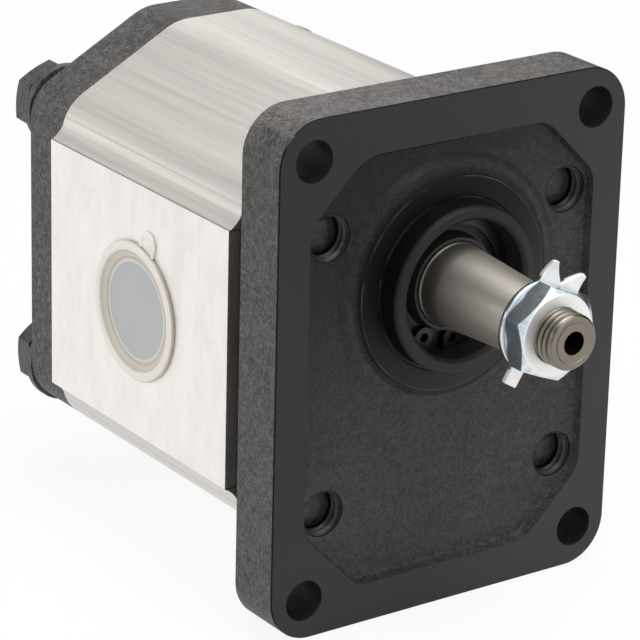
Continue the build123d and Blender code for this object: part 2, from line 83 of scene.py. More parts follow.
forward = (CAMERA_TARGET - CAMERA_PLACE).normalized()
level_right = forward.cross(Vector((0, 0, 1))).normalized()
level_up = level_right.cross(forward)
right = level_right * np.cos(CAMERA_ROLL) + level_up * np.sin(CAMERA_ROLL)
up = right.cross(forward)

camera = bpy.data.objects.new("camera", bpy.data.cameras.new("camera"))
camera.data.lens = CAMERA_LENS
camera.data.sensor_width = 36.0
camera.data.clip_start = 0.05
camera.data.clip_end = 20.0
camera.matrix_world = Matrix.Translation(CAMERA_PLACE) @ Matrix(
    (right, up, -forward)
).transposed().to_4x4()
bpy.context.scene.collection.objects.link(camera)
bpy.context.scene.camera = camera
bpy.context.scene.view_settings.view_transform = "Standard"
print("camera distance, mm:", round((CAMERA_TARGET - CAMERA_PLACE).length / MM))

# %% [markdown]
# ## Values that vary over a surface
# A material's pattern is a sum of simple functions of place. To write such sums as sums, a small
# class wraps a node's output, and adding or multiplying two of them adds the Math node that does
# it. Everything is in millimetres, so that a number in a pattern is a size on the pump.


# %% A value that takes part in sums
class Value:
    """A number that varies over the surface: one output socket of a node tree."""

    def __init__(self, finish, socket):
        self.finish = finish
        self.socket = socket

    def _math(self, operation, first, second):
        return self.finish.node("ShaderNodeMath", {"operation": operation}, {0: first, 1: second})

    def __add__(self, other):
        return self._math("ADD", self, other)

    __radd__ = __add__

    def __sub__(self, other):
        return self._math("SUBTRACT", self, other)

    def __rsub__(self, other):
        return self._math("SUBTRACT", other, self)

    def __mul__(self, other):
        return self._math("MULTIPLY", self, other)

    __rmul__ = __mul__

    def __truediv__(self, other):
        return self._math("DIVIDE", self, other)

    def __pow__(self, other):
        return self._math("POWER", self, other)

    def __abs__(self):
        return self._math("ABSOLUTE", self, 0.0)

    def __mod__(self, other):
        return self._math("FLOORED_MODULO", self, other)

    def lower(self, other):
        """The smaller of the two at each point."""
        return self._math("MINIMUM", self, other)

    def higher(self, other):
        """The larger of the two at each point."""
        return self._math("MAXIMUM", self, other)


def distance(first, second):
    """Distance from an axis: the root of the sum of two squares, taken square to the axis."""
    return (first * first + second * second) ** 0.5


print("a value takes + - * / ** % and abs, and the names lower and higher")

# %% [markdown]
# ## Finishes
# A finish is a material with one Principled shader. What is the same all over goes straight on
# the shader's sockets. What varies is a Value. The patterns used most, such as grain of a given
# size or an edge between two zones, get a method each.


# %% A finish and its patterns
class Finish:
    """One material. Constants are named sockets of its Principled shader."""

    def __init__(self, name, **constants):
        self.material = bpy.data.materials.new(name)
        self.material.use_nodes = True
        self.tree = self.material.node_tree
        self.shader = self.tree.nodes["Principled BSDF"]
        for socket, value in constants.items():
            self.set(socket.replace("_", " "), value)
        self._metres = None

    def node(self, kind, settings=None, inputs=None, output=0):
        """Any node: its settings first, then numbers, colours or Values for its sockets."""
        made = self.tree.nodes.new(kind)
        for name, value in (settings or {}).items():
            setattr(made, name, value)
        for key, value in (inputs or {}).items():
            self._feed(made.inputs[key], value)
        return Value(self, made.outputs[output])

    def _feed(self, socket, value):
        if isinstance(value, Value):
            self.tree.links.new(value.socket, socket)
        elif socket.type == "RGBA" and len(value) == 3:
            socket.default_value = (*value, 1.0)
        else:
            socket.default_value = value

    def set(self, name, value):
        """A constant or a Value for one of the shader's sockets."""
        self._feed(self.shader.inputs[name], value)
        return self

    def metres(self):
        """Object coordinates, made once for each finish."""
        if self._metres is None:
            self._metres = self.node("ShaderNodeTexCoord", output="Object")
        return self._metres

    def place(self, centre=(0, 0, 0)):
        """X, Y and Z in millimetres from a centre that is also in millimetres."""
        moved = self.node(
            "ShaderNodeMapping",
            None,
            {0: self.metres(), 1: [-c for c in centre], 3: (1 / MM,) * 3},
        )
        return [
            self.node("ShaderNodeSeparateXYZ", None, {0: moved}, output=axis) for axis in "XYZ"
        ]

    def noise(self, size, stretch=(1, 1, 1), detail=2.0, rough=0.5, shift=0.0):
        """Soft grain from 0 to 1 with lumps of the given size in mm, longer where stretched."""
        scale = [1 / MM / (size * s) for s in stretch]
        spot = self.node("ShaderNodeMapping", None, {0: self.metres(), 1: (shift,) * 3, 3: scale})
        return self.node(
            "ShaderNodeTexNoise",
            {"noise_dimensions": "3D"},
            {"Vector": spot, "Scale": 1.0, "Detail": detail, "Roughness": rough},
        )

    def rise(self, value, low, high, bottom=0.0, top=1.0):
        """Smoothly from bottom to top as the value goes from low to high."""
        return self.node(
            "ShaderNodeMapRange",
            {"interpolation_type": "SMOOTHSTEP"},
            {0: value, 1: low, 2: high, 3: bottom, 4: top},
        )

    def near(self, value, centre, full, gone):
        """1 where the value is within full of the centre, and 0 where it is gone or more away."""
        return 1 - self.rise(abs(value - centre), full, gone)

    def mix(self, share, first, second):
        """A colour: the first where share is 0 and the second where it is 1."""
        return self.node(
            "ShaderNodeMix", {"data_type": "RGBA"}, {0: share, 6: first, 7: second}, output=2
        )

    def tinted(self, colour, tint):
        """The colour times a tint, part by part."""
        return self.node(
            "ShaderNodeMix",
            {"data_type": "RGBA", "blend_type": "MULTIPLY"},
            {0: 1.0, 6: colour, 7: tint},
            output=2,
        )

    def bump(self, height, depth, under=None):
        """A normal for a relief whose height of 0 to 1 stands for a depth in mm."""
        inputs = {"Strength": 1.0, "Distance": depth * MM, "Height": height}
        if under is not None:
            inputs["Normal"] = under
        return self.node("ShaderNodeBump", None, inputs)

    def soft_edges(self, radius):
        """A normal that rounds the sharp edges of a solid by a radius in mm."""
        return self.node("ShaderNodeBevel", {"samples": 4}, {"Radius": radius * MM})


print("a finish has", [name for name in vars(Finish) if not name.startswith("_")])


# %% [markdown]
# ## The black castings
# Flange and cover are grey iron castings under one thin coat of black. A casting's own skin is
# pebbled, with lumps and wrinkles that the sand left. Real relief would need millions of faces,
# so a bump does it: three noises of different sizes, added up.

# %% The blacks and the cast skin
SIDE_BLACK = (0.088, 0.0835, 0.080)
RECESS_BLACK = (0.051, 0.0480, 0.0475)
FRAME_BLACK = (0.0385, 0.0365, 0.0365)
RING_BLACK = (0.036, 0.0345, 0.0335)


def shaded(colour, factor):
    """The colour with each part times a factor."""
    return [factor * part for part in colour]


def cast_skin(finish, coarse):
    """Relief of a sand casting from 0 to 1: grains of half a millimetre, with lumps and thin
    wandering wrinkles among them where coarse is 1."""
    lumps = finish.noise(2.0, detail=2.0, rough=0.6)
    grains = finish.noise(0.55, detail=2.0, rough=0.6, shift=3.0)
    folds = finish.noise(1.1, stretch=(1, 0.7, 1.4), detail=2.0, rough=0.5, shift=5.0)
    wrinkles = finish.rise(abs(folds - 0.5), 0.0, 0.08)
    fine = lumps * 0.35 + grains * 0.65
    return fine * (1 - coarse * 0.45) + (lumps * 0.65 + wrinkles * 0.35) * coarse * 0.45

print("blacks, by their green part:", SIDE_BLACK[1], RECESS_BLACK[1], FRAME_BLACK[1], RING_BLACK[1])

# %% [markdown]
# ### One finish for both castings
# The mounting face, the ring and the spigot were machined before the coat, so there the black is
# smooth. One function makes the finish of either casting. It is given two others: one says where
# the faces are machined, and one what colour the skin has.


# %% The coat over a casting
def make_casting(name, smooth_zone, skin_colour, depth):
    """Black casting. smooth_zone(finish) gives a mask of machined faces and their colour, and
    skin_colour(finish) the cast skin's colour and a mask of where it is coarse. Painted light
    makes the skin paler on its lumps, and painted shade darkens its hollows."""
    finish = Finish(name, Metallic=0.0)
    finish.set("Specular IOR Level", 0.12)
    finish.set("Coat Roughness", 0.38)
    zone, smooth = smooth_zone(finish)
    colour, coarse = skin_colour(finish)
    skin = cast_skin(finish, coarse)
    cloud = finish.noise(9.0, detail=3.0, shift=1.0)
    height = finish.rise(skin + (cloud - 0.5) * 0.2, 0.34, 0.68)
    # Painted shade in the hollows of the relief and painted light on its lumps.
    painted_pit_shade = finish.mix(height, (0.55,) * 3, (1.42,) * 3)
    painted_pit_shade = finish.mix(coarse * 0.15 + 0.85, (1, 1, 1), painted_pit_shade)
    finish.set("Base Color", finish.mix(zone, finish.tinted(colour, painted_pit_shade), smooth))
    finish.set("Coat Weight", (1 - zone) * 0.25)
    tooling = finish.noise(0.35, detail=1.0, shift=5.0)
    finish.set("Roughness", 0.6 - zone * 0.15 + (cloud - 0.5) * 0.12)
    relief = skin * (1 - zone) + tooling * zone * 0.02
    finish.set("Normal", finish.bump(relief, depth, finish.soft_edges(0.3)))
    return finish.material


# %% [markdown]
# ### The flange's machined faces
# Place decides what is machined: a distance from the shaft's axis for the ring and spigot, and a
# distance from a hole's axis for the holes. The holes lie alike in all four quarters, so taking
# X and Z without their signs needs one hole of each kind.

# %% Zones of the flange
PILOT_RADIUS = 18.25
RING_RADIUS = 23.45
MOUNT_X, MOUNT_Z = 35.75, 48.0
BOLT_OFFSET = 30.25
DRILLED_WALL, TAPPED_WALL = 4.7, 5.1


def outward(x, z, half_x, half_z):
    """How far out a point lies in a rectangle: 0 in the middle and 1 on its edges."""
    return (abs(x) / half_x).higher(abs(z) / half_z)


def turned_black(finish, x, y, z):
    """Colour of ring, spigot and bore: painted shade makes them darkest on their upper left and
    nearly black on the spigot's wall, and painted highlights run in patches along the two turned
    edges."""
    radius = distance(x, z)
    turning = finish.noise(0.9, detail=2.0, shift=8.0)
    # Painted shade: the turned faces darken towards their upper left.
    across = finish.rise(x * 0.6 - z * 0.8 + turning * 4, -12.0, 28.0)
    colour = finish.mix(across, shaded(RING_BLACK, 0.12), RING_BLACK)
    # Painted shade: the spigot's wall is nearly black.
    off_wall = finish.rise(abs(radius - PILOT_RADIUS), 0.02, 0.08)
    colour = finish.mix(off_wall, shaded(RING_BLACK, 0.1), colour)
    spigot_face = 1 - finish.rise(y, -4.9, -4.3)
    colour = finish.mix(spigot_face * 0.45, colour, shaded(RING_BLACK, 1.3))
    # Painted highlights: thin bright lines, broken into patches, along the ring's edge and the
    # spigot's foot.
    ring_edge = finish.near(radius, RING_RADIUS - 0.25, 0.06, 0.2)
    painted_edge_highlight = ring_edge.higher(finish.near(radius, PILOT_RADIUS + 0.45, 0.06, 0.25))
    painted_edge_highlight = painted_edge_highlight * finish.rise(finish.noise(9.0, detail=1.0, shift=4.0), 0.4, 0.62)
    return finish.mix(painted_edge_highlight, colour, shaded(RING_BLACK, 1.5))


def hole_walls(finish, x, y, z):
    """1 on the walls of the four mounting holes and the four tapped ones."""
    to_mount = distance(abs(x) - MOUNT_X, abs(z) - MOUNT_Z)
    to_bolt = distance(abs(x) - BOLT_OFFSET, abs(z) - BOLT_OFFSET)
    drilled = 1 - finish.rise(to_mount, DRILLED_WALL, DRILLED_WALL + 0.1)
    tapped = 1 - finish.rise(to_bolt, TAPPED_WALL, TAPPED_WALL + 0.1)
    return drilled.higher(tapped) * finish.rise(y, 0.05, 0.3)


print("machined ring, mm across:", 2 * RING_RADIUS, "and spigot:", 2 * PILOT_RADIUS)

# %% [markdown]
# ### All machined zones together
# Each zone is a mask from 0 to 1, and the larger of two masks joins them. Their colours are laid
# over each other in turn: the frame first, then the ring, the holes and the thin edge.


# %% Machined faces of the flange
def flange_zone(finish):
    """Machined: the mounting face and its edge, the holes, and all within the ring's radius.
    Painted light makes the face paler towards the lower right."""
    x, y, z = finish.place()
    face = 1 - finish.rise(y, 0.04, 0.10)
    ring = (1 - finish.rise(distance(x, z), RING_RADIUS, RING_RADIUS + 0.1)) * (
        1 - finish.rise(y, 20.0, 20.2)
    )
    # Painted light: the frame gets paler towards the lower right.
    paler = finish.rise(x - z * 0.5, -50.0, 70.0)
    frame = finish.mix(paler, shaded(FRAME_BLACK, 0.9), shaded(FRAME_BLACK, 1.35))
    colour = finish.mix(ring, frame, turned_black(finish, x, y, z))
    hole = hole_walls(finish, x, y, z - SECTION_Z)
    colour = finish.mix(hole, colour, shaded(RING_BLACK, 0.45))
    rim = finish.rise(outward(x, z - SECTION_Z, 43.0, 55.0), 0.98, 0.99)
    edge = rim * (1 - finish.rise(y, 0.3, 0.36)) * finish.rise(y, 0.03, 0.07)
    colour = finish.mix(edge, colour, shaded(RING_BLACK, 0.15))
    return face.higher(ring).higher(hole).higher(edge), colour


print("mounting holes, mm apart:", 2 * MOUNT_X, "and", 2 * MOUNT_Z)

# %% [markdown]
# ### The skins of flange and cover
# The flange's skin is black in the recess and greyer outside, and painted light makes it palest on
# top. The cover has no machined face that shows, so its zone is the plain number 0.


# %% Skins, and the two castings
def flange_skin(finish):
    """Colour of the flange's skin: greyer outside, with painted light making the top palest.
    Painted shade darkens the recess towards its upper left, a band just outside the ring's step,
    and the collar behind the plate. The skin is coarse outside, on the recess wall and on the
    ridge round the ring."""
    x, y, z = finish.place((0, 0, SECTION_Z))
    from_axis = distance(x, z + SECTION_Z)
    # Painted shade: the recess darkens towards its upper left.
    across = finish.rise(x * 0.6 - z * 0.8, -45.0, 12.0)
    recess = finish.mix(across, shaded(RECESS_BLACK, 0.3), RECESS_BLACK)
    # Painted shade in a band just outside the ring's step.
    step_painted_shade = finish.near(from_axis, RING_RADIUS + 0.65, 0.5, 0.9)
    recess = finish.mix(step_painted_shade * 0.8, recess, shaded(RECESS_BLACK, 0.12))
    inside = (1 - finish.rise(y, 2.5, 2.8)) * (
        1 - finish.rise(outward(x, z, 38.5, 49.5), 0.985, 1.0)
    )
    # Painted light: the top of the flange is paler.
    top = finish.rise(z, 53.5, 54.5)
    outside = finish.mix(top, SIDE_BLACK, shaded(SIDE_BLACK, 1.45))
    # Painted shade on the neck behind the plate.
    neck_painted_shade = finish.rise(y, 13.5, 13.9)
    colour = finish.mix(neck_painted_shade, finish.mix(inside, outside, recess), shaded(SIDE_BLACK, 0.22))
    ridge = finish.near(from_axis, RING_RADIUS + 2.05, 0.8, 2.8)
    wall = finish.rise(outward(x, z, 36.4, 47.0), 0.985, 1.0)
    return colour, 1 - inside * (1 - (ridge * (1 - across)).higher(wall))


def cover_zone(finish):
    """Machined: nothing that shows, as the stack hides the joint face and the bolts' seats."""
    return 0.0, FRAME_BLACK


def cover_skin(finish):
    """Colour of the cover's skin, a little paler in soft patches, and coarse all over."""
    cloud = finish.noise(14.0, detail=2.0, shift=7.0)
    return finish.mix(cloud, shaded(SIDE_BLACK, 0.95), shaded(SIDE_BLACK, 1.15)), 1.0


casting_flange = make_casting("black_flange_casting", flange_zone, flange_skin, 1.4)
casting_cover = make_casting("black_cover_casting", cover_zone, cover_skin, 1.5)
print("castings:", casting_flange.name, casting_cover.name)

# %% [markdown]
# ## The extruded body
# The body is pressed through a die, so its faint lines run along the pump. The port pads are
# milled afterwards and look whiter, with fine marks across. Inside the ports a thread is cut.
# It is seen only past a pulled plug, so a bump that climbs round the bore is enough for it.

# %% Thread in the ports
THREAD_PITCH = 1.5
PAD_FACE = 42.7
BODY_MIDDLE = 55.15


def port_thread(finish):
    """Mask of the tapped bores, and a ridge that climbs one pitch for each turn in them."""
    x, y, z = finish.place((0, BODY_MIDDLE, SECTION_Z))
    radius = distance(y, z)
    angle = finish.node("ShaderNodeMath", {"operation": "ARCTAN2"}, {0: z, 1: y})
    ridge = abs((x / THREAD_PITCH + angle / (2 * np.pi)) % 1.0 - 0.5) * 2
    tapped = (1 - finish.rise(radius, 12.5, 12.7)) * finish.rise(abs(x), 26.7, 26.9)
    return tapped, ridge

print("ports at Y =", BODY_MIDDLE, "and X = -/+", PAD_FACE)

# %% [markdown]
# ### Drawn, milled and turned
# One finish holds all three kinds of marks. Noise that is stretched sixty times as long one way
# makes lines: along the pump where the body was drawn, and up the pads where they were milled.

# %% Extruded aluminium
PAD_TOP = 28.6
BODY_COLOUR = (0.785, 0.75, 0.70)
BODY_SHADE = (0.635, 0.62, 0.588)
PAD_COLOUR = (0.895, 0.858, 0.83)


def make_extrusion():
    """Drawn lines along the body, milled marks up the pads and turned ridges in the ports."""
    finish = Finish("extruded_aluminium", Metallic=1.0)
    x, y, z = finish.place((0, 0, SECTION_Z))
    pad = finish.rise(abs(x), PAD_FACE - 0.12, PAD_FACE - 0.05)
    lines = finish.noise(0.9, stretch=(1, 60, 1), detail=3.0, rough=0.65)
    bands = finish.noise(9.0, stretch=(1, 40, 1), detail=2.0, shift=2.0)
    mill = finish.noise(0.6, stretch=(1, 1, 60), detail=2.0, rough=0.6, shift=4.0)
    broad = finish.noise(5.0, stretch=(1, 1, 2), detail=4.0, rough=0.6, shift=6.0)
    specks = finish.rise(finish.noise(0.5, detail=1.0, shift=9.0), 0.68, 0.8)
    drawn = finish.mix(finish.rise(bands * 0.45 + lines * 0.55, 0.3, 0.7), BODY_SHADE, BODY_COLOUR)
    drawn = finish.mix(specks * 0.25, drawn, shaded(BODY_SHADE, 0.6))
    # Painted shade: a dark line at the foot of the flank, and one along the pad's top edge.
    foot = finish.near(abs(z), PAD_TOP + 4.6, 0.0, 0.35)
    drawn = finish.mix(foot * 0.3, drawn, shaded(BODY_SHADE, 0.5))
    pad_edge_painted_shade = finish.near(abs(z), PAD_TOP, 0.1, 0.3)
    drawn = finish.mix(pad_edge_painted_shade * 0.75, drawn, shaded(BODY_SHADE, 0.25))
    marks = finish.rise(mill * 0.25 + broad * 0.75, 0.36, 0.64)
    milled = finish.mix(marks, shaded(PAD_COLOUR, 0.93), PAD_COLOUR)
    tapped, ridge = port_thread(finish)
    finish.set("Base Color", finish.mix(pad, drawn, milled))
    finish.set("Roughness", 0.42 + lines * 0.08 + pad * 0.12)
    relief = lines * (1 - pad) * 0.5 + mill * pad * 0.3 + ridge * tapped * 20
    finish.set("Normal", finish.bump(relief, 0.02, finish.soft_edges(0.2)))
    return finish.material


extrusion = make_extrusion()
print("body:", extrusion.name)

# %% [markdown]
# ## Steels
# Ground steel has marks that run round the piece, so its noise is long around and short along.
# Bolts and washers are blackened, which wears off in patches.

# %% Ground and blackened steel
POINT_BLACK = (0.062, 0.058, 0.055)
# Stretch of marks that run round the Y axis.
ROUND_Y = (20, 0.2, 20)


def make_ground_steel(name, colour, across, roughness):
    """Steel with fine grinding marks; across stretches the marks along X, Y and Z."""
    finish = Finish(name, Metallic=1.0)
    marks = finish.noise(0.3, stretch=across, detail=3.0, rough=0.7)
    cloud = finish.noise(5.0, detail=3.0, shift=2.0)
    finish.set("Base Color", finish.mix(cloud, shaded(colour, 0.82), colour))
    finish.set("Roughness", roughness + (marks - 0.5) * 0.18)
    finish.set("Normal", finish.bump(marks, 0.006, finish.soft_edges(0.12)))
    return finish.material


def make_black_steel(name, colour):
    """Blackened steel with a thin wear on it. The bolts' points, in the flange, are darker."""
    finish = Finish(name, Metallic=0.6)
    cloud = finish.noise(1.6, detail=3.0, rough=0.65)
    _, y, _ = finish.place()
    tone = finish.mix(finish.rise(y, 15.0, 90.0), POINT_BLACK, colour)
    patches = finish.mix(finish.rise(cloud, 0.3, 0.7), (0.45,) * 3, (1, 1, 1))
    finish.set("Base Color", finish.tinted(tone, patches))
    finish.set("Roughness", 0.36 + cloud * 0.2)
    grain = finish.noise(0.4, detail=2.0, shift=3.0)
    finish.set("Normal", finish.bump(grain, 0.03, finish.soft_edges(0.3)))
    return finish.material


tapped_iron = make_black_steel("tapped_thread_iron", (0.04, 0.04, 0.04))
gear_steel = make_ground_steel("gear_steel", (0.55, 0.54, 0.53), (1, 20, 1), 0.3)
case_steel = make_ground_steel("seal_case_steel", (0.035, 0.036, 0.04), ROUND_Y, 0.4)
ring_steel = make_ground_steel("retaining_ring_steel", (0.045, 0.045, 0.047), (1, 1, 1), 0.32)
bolt_steel = make_black_steel("blackened_bolt_steel", (0.11, 0.103, 0.10))
print("steels:", tapped_iron.name, gear_steel.name, case_steel.name, ring_steel.name, bolt_steel.name)

# %% [markdown]
# ### Zinc
# The nut and its tab washer have a bright plating. On the flats it takes a cold tint, while faces
# that were cut square to the shaft are matt and pale. Distance along the shaft tells them apart.

# %% Zinc plating
NUT_FRONT, WASHER_FACE = -34.95, -29.0
ZINC_PALE, ZINC_COLD, ZINC_BLUE = (0.87, 0.872, 0.855), (0.72, 0.79, 0.85), (0.50, 0.60, 0.68)


def make_zinc():
    """Bright plating. Nut flats keep a cold shine, and faces cut square to the shaft are matt."""
    finish = Finish("bright_zinc", Metallic=1.0)
    cloud = finish.noise(1.6, detail=4.0, rough=0.6)
    x, y, z = finish.place()
    nut_front = 1 - finish.rise(y, NUT_FRONT, NUT_FRONT + 0.1)
    washer_front = finish.near(y, WASHER_FACE, 0.04, 0.12)
    tabs = finish.rise(distance(x, z), 10.4, 11.0) * finish.rise(y, -32.0, -31.5)
    matt = nut_front.higher(washer_front).higher(tabs)
    flats = finish.mix(finish.rise(cloud, 0.35, 0.7), ZINC_COLD, ZINC_BLUE)
    finish.set("Base Color", finish.mix(matt, flats, ZINC_PALE))
    finish.set("Roughness", 0.2 + cloud * 0.1 + matt * 0.24)
    finish.set("Normal", finish.bump(cloud, 0.015, finish.soft_edges(0.3)))
    return finish.material


zinc = make_zinc()
print("plating:", zinc.name)

# %% [markdown]
# ### The shaft
# The taper is ground to a satin, and a hub is pressed on it. The threaded end keeps the browner
# skin that turning left, and painted shade darkens the thread's grooves.

# %% Shaft and thread
SHAFT_COLOUR = (0.74, 0.69, 0.62)
THREAD_COLOUR = (0.232, 0.206, 0.172)


def make_shaft_steel():
    """Ground shaft with a satin that fine grinding leaves. The threaded end has its turned,
    browner skin, painted shade darkens the shaft where it goes into the flange, and painted
    shade makes the centre hole nearly black inside."""
    finish = Finish("ground_shaft_steel", Metallic=1.0)
    x, y, z = finish.place()
    marks = finish.noise(0.8, stretch=(40, 0.4, 40), detail=2.0, rough=0.6)
    cloud = finish.noise(4.0, stretch=(1, 2, 1), detail=3.0, shift=2.0)
    ground = finish.mix(cloud * 0.6 + marks * 0.4, shaded(SHAFT_COLOUR, 0.86), SHAFT_COLOUR)
    # Painted shade: the shaft darkens where it goes into the flange.
    ground = finish.mix(finish.rise(y, -1.3, -0.8), ground, shaded(SHAFT_COLOUR, 0.3))
    threaded = 1 - finish.rise(y, -29.0, -28.5)
    colour = finish.mix(threaded, ground, THREAD_COLOUR)
    # Painted shade: the centre hole is nearly black inside.
    hole = (1 - finish.rise(distance(x, z), 2.45, 2.6)) * threaded
    finish.set("Base Color", finish.mix(hole, colour, shaded(THREAD_COLOUR, 0.4)))
    finish.set("Roughness", 0.42 - threaded * 0.06 + (marks - 0.5) * 0.08)
    finish.set("Normal", finish.bump(marks, 0.006, finish.soft_edges(0.12)))
    return finish.material


def make_thread_steel():
    """Turned thread: brown-grey on the crests, with painted shade in the grooves."""
    finish = Finish("thread_steel", Metallic=1.0)
    x, y, z = finish.place()
    crest = finish.rise(distance(x, z), 5.25, 5.8)
    front = 1 - finish.rise(y, -39.9, -39.6)
    marks = finish.noise(0.3, stretch=ROUND_Y, detail=3.0, rough=0.7)
    # Painted shade: the thread's grooves are darker than its crests.
    colour = finish.mix(crest.higher(front), shaded(THREAD_COLOUR, 0.2), THREAD_COLOUR)
    finish.set("Base Color", colour)
    finish.set("Roughness", 0.34 + (marks - 0.5) * 0.18)
    finish.set("Normal", finish.bump(marks, 0.015))
    return finish.material


shaft_steel = make_shaft_steel()
thread_steel = make_thread_steel()
print("shaft:", shaft_steel.name, thread_steel.name)

# %% [markdown]
# ## Inner parts
# Bearing blocks, bushes and seals lie inside. They still get finishes of their own, for whoever
# hides the housing to look at them.


# %% Inner finishes
def make_plain(name, colour, metallic, roughness, grain_size, depth):
    """A finish with one grain: colour, roughness and relief all follow it."""
    finish = Finish(name, Metallic=metallic)
    grain = finish.noise(grain_size, detail=3.0, rough=0.6)
    finish.set("Base Color", finish.mix(grain, shaded(colour, 0.8), colour))
    finish.set("Roughness", roughness + (grain - 0.5) * 0.15)
    finish.set("Normal", finish.bump(grain, depth))
    return finish.material


block_metal = make_plain("bearing_block_aluminium", (0.62, 0.61, 0.59), 1.0, 0.42, 0.8, 0.01)
bronze = make_plain("bush_bronze", (0.55, 0.36, 0.18), 1.0, 0.35, 0.6, 0.01)
rubber = make_plain("seal_rubber", (0.018, 0.018, 0.019), 0.0, 0.55, 0.4, 0.02)
backup = make_plain("backup_strip_plastic", (0.80, 0.77, 0.68), 0.0, 0.5, 0.6, 0.01)
spring = make_plain("seal_spring_steel", (0.45, 0.44, 0.42), 1.0, 0.3, 0.3, 0.01)
print("inner finishes:", block_metal.name, bronze.name, rubber.name, backup.name, spring.name)

# %% [markdown]
# ## Every solid gets its finish
# One table says which finish each solid has. The two plugs and the tab washer are missing from
# it, because pieces made below take their place.

# %% Finishes of the solids
FINISH_OF = {
    "front_flange": casting_flange,
    "rear_cover": casting_cover,
    "pump_body": extrusion,
    "drive_gear_shaft": shaft_steel,
    "driven_gear_shaft": gear_steel,
    "front_bearing_block": block_metal,
    "rear_bearing_block": block_metal,
    "drive_front_bush": bronze,
    "drive_rear_bush": bronze,
    "driven_front_bush": bronze,
    "driven_rear_bush": bronze,
    "front_block_seal": rubber,
    "rear_block_seal": rubber,
    "front_body_seal": rubber,
    "rear_body_seal": rubber,
    "shaft_seal_lip": rubber,
    "front_backup_strip": backup,
    "rear_backup_strip": backup,
    "shaft_seal_case": case_steel,
    "shaft_seal_spring": spring,
    "retaining_ring": ring_steel,
    "front_dowels": gear_steel,
    "rear_dowels": gear_steel,
    "through_bolts": bolt_steel,
    "bolt_washers": bolt_steel,
    "bolt_lock_washers": bolt_steel,
    "shaft_key": gear_steel,
    "shaft_nut": zinc,
}
for name, material in FINISH_OF.items():
    mesh = nodes[name].data
    mesh.materials.clear()
    mesh.materials.append(material)
print("CAD nodes finished:", len(FINISH_OF), "of", len(nodes))

# %% [markdown]
# ## Surfaces from grids
# Every new piece below is a grid of points worked out at once with numpy: rows follow one
# parameter and columns the other. One helper turns such a grid into a mesh.


# %% A grid of points becomes a piece
def grid_piece(name, points, body, material, wrap=(False, True), poles=()):
    """Piece from an array (rows, columns, 3) in mm. wrap says whether the last row joins the
    first and the last column the first. A row listed in poles is closed by a fan round its
    mean point. Normals are turned outwards at the end."""
    rows, columns = points.shape[:2]
    index = np.arange(rows * columns).reshape(rows, columns)
    if wrap[0]:
        index = np.vstack([index, index[:1]])
    if wrap[1]:
        index = np.hstack([index, index[:, :1]])
    quads = np.stack(
        [index[:-1, :-1], index[:-1, 1:], index[1:, 1:], index[1:, :-1]], axis=-1
    ).reshape(-1, 4)
    corners = points.reshape(-1, 3)
    faces = quads.tolist()
    for row in poles:
        middle = len(corners)
        corners = np.vstack([corners, points[row].mean(axis=0)])
        edge = index[row]
        faces += [[a, b, middle] for a, b in zip(edge[:-1].tolist(), edge[1:].tolist())]
    mesh = bpy.data.meshes.new(name)
    mesh.from_pydata((corners * MM).tolist(), [], faces)
    outward = bmesh.new()
    outward.from_mesh(mesh)
    bmesh.ops.recalc_face_normals(outward, faces=outward.faces)
    outward.to_mesh(mesh)
    outward.free()
    mesh.polygons.foreach_set("use_smooth", [True] * len(mesh.polygons))
    mesh.materials.append(material)
    piece = bpy.data.objects.new(name, mesh)
    bpy.context.scene.collection.objects.link(piece)
    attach(piece, body)
    print(name, "faces:", len(mesh.polygons))
    return piece


# %% [markdown]
# ## Screw threads
# The solids have plain cylinders where the pump has threads. A thread is one ridge wound round
# the axis, so its surface is a radius that depends on the angle and on the distance along the
# axis: at a fixed angle it is a row of V shapes, and one turn moves the row by one pitch. The
# shaft's end has such a ridge outside, and each bolt hole in the flange has one inside.


# %% Thread surfaces
def thread_rows(start, end, root, crest, fade, steps=64, spacing=0.12):
    """Radius and place of a thread between start and end along Y. The phase is the distance
    in pitches minus the angle in turns; the height is a V of the phase with its tip cut off,
    times a share that grows from 0 at each end over that end's fade length."""
    y = np.arange(start, end + spacing / 2, spacing)[:, None]
    angle = np.linspace(0, 2 * np.pi, steps, endpoint=False)[None, :]
    phase = (y / THREAD_PITCH - angle / (2 * np.pi)) % 1.0
    height = np.clip(2.6 * (0.5 - np.abs(phase - 0.5)) - 0.08, 0.0, 1.0)
    share = np.clip((y - start) / fade[0], 0, 1) * np.clip((end - y) / fade[1], 0, 1)
    radius = root + (crest - root) * height * share
    return radius, y + 0 * angle, angle + 0 * y


def thread_piece(name, centre, rows, backing, body, material):
    """Closed sleeve: the thread's surface on one side and a plain tube at the backing
    radius on the other."""
    radius, y, angle = rows
    back = np.full_like(radius[:1], backing)
    radius = np.vstack([back, radius, back])
    y = np.vstack([y[:1] + 0.3, y, y[-1:]])
    angle = np.vstack([angle[:1], angle, angle[-1:]])
    points = np.stack(
        [centre[0] + radius * np.cos(angle), y, centre[1] + radius * np.sin(angle)], axis=-1
    )
    return grid_piece(name, points, body, material, wrap=(True, True))


# %% [markdown]
# ### Threads of the shaft and the bolt holes
# The shaft's end starts with a plain collar and a chamfer, which are extra rows in front of the
# thread's. The four bolt holes share one thread, set at four places.

# %% Five threads
SHAFT_ROOT, SHAFT_CREST = 5.12, 5.95
HOLE_ROOT, HOLE_CREST = 4.98, 4.3


def shaft_end(rows):
    """The thread's rows with a plain collar and a chamfer put in front of them, each a row of
    one radius and one place."""
    radius, y, angle = rows
    collar = np.array([(4.1, -39.97), (5.35, -39.97), (5.6, -39.8), (5.9, -39.4), (5.92, -38.8)])
    radius = np.vstack([np.repeat(collar[:, :1], radius.shape[1], axis=1), radius])
    y = np.vstack([np.repeat(collar[:, 1:], y.shape[1], axis=1), y])
    return radius, y, np.vstack([angle[:1]] * len(collar) + [angle])


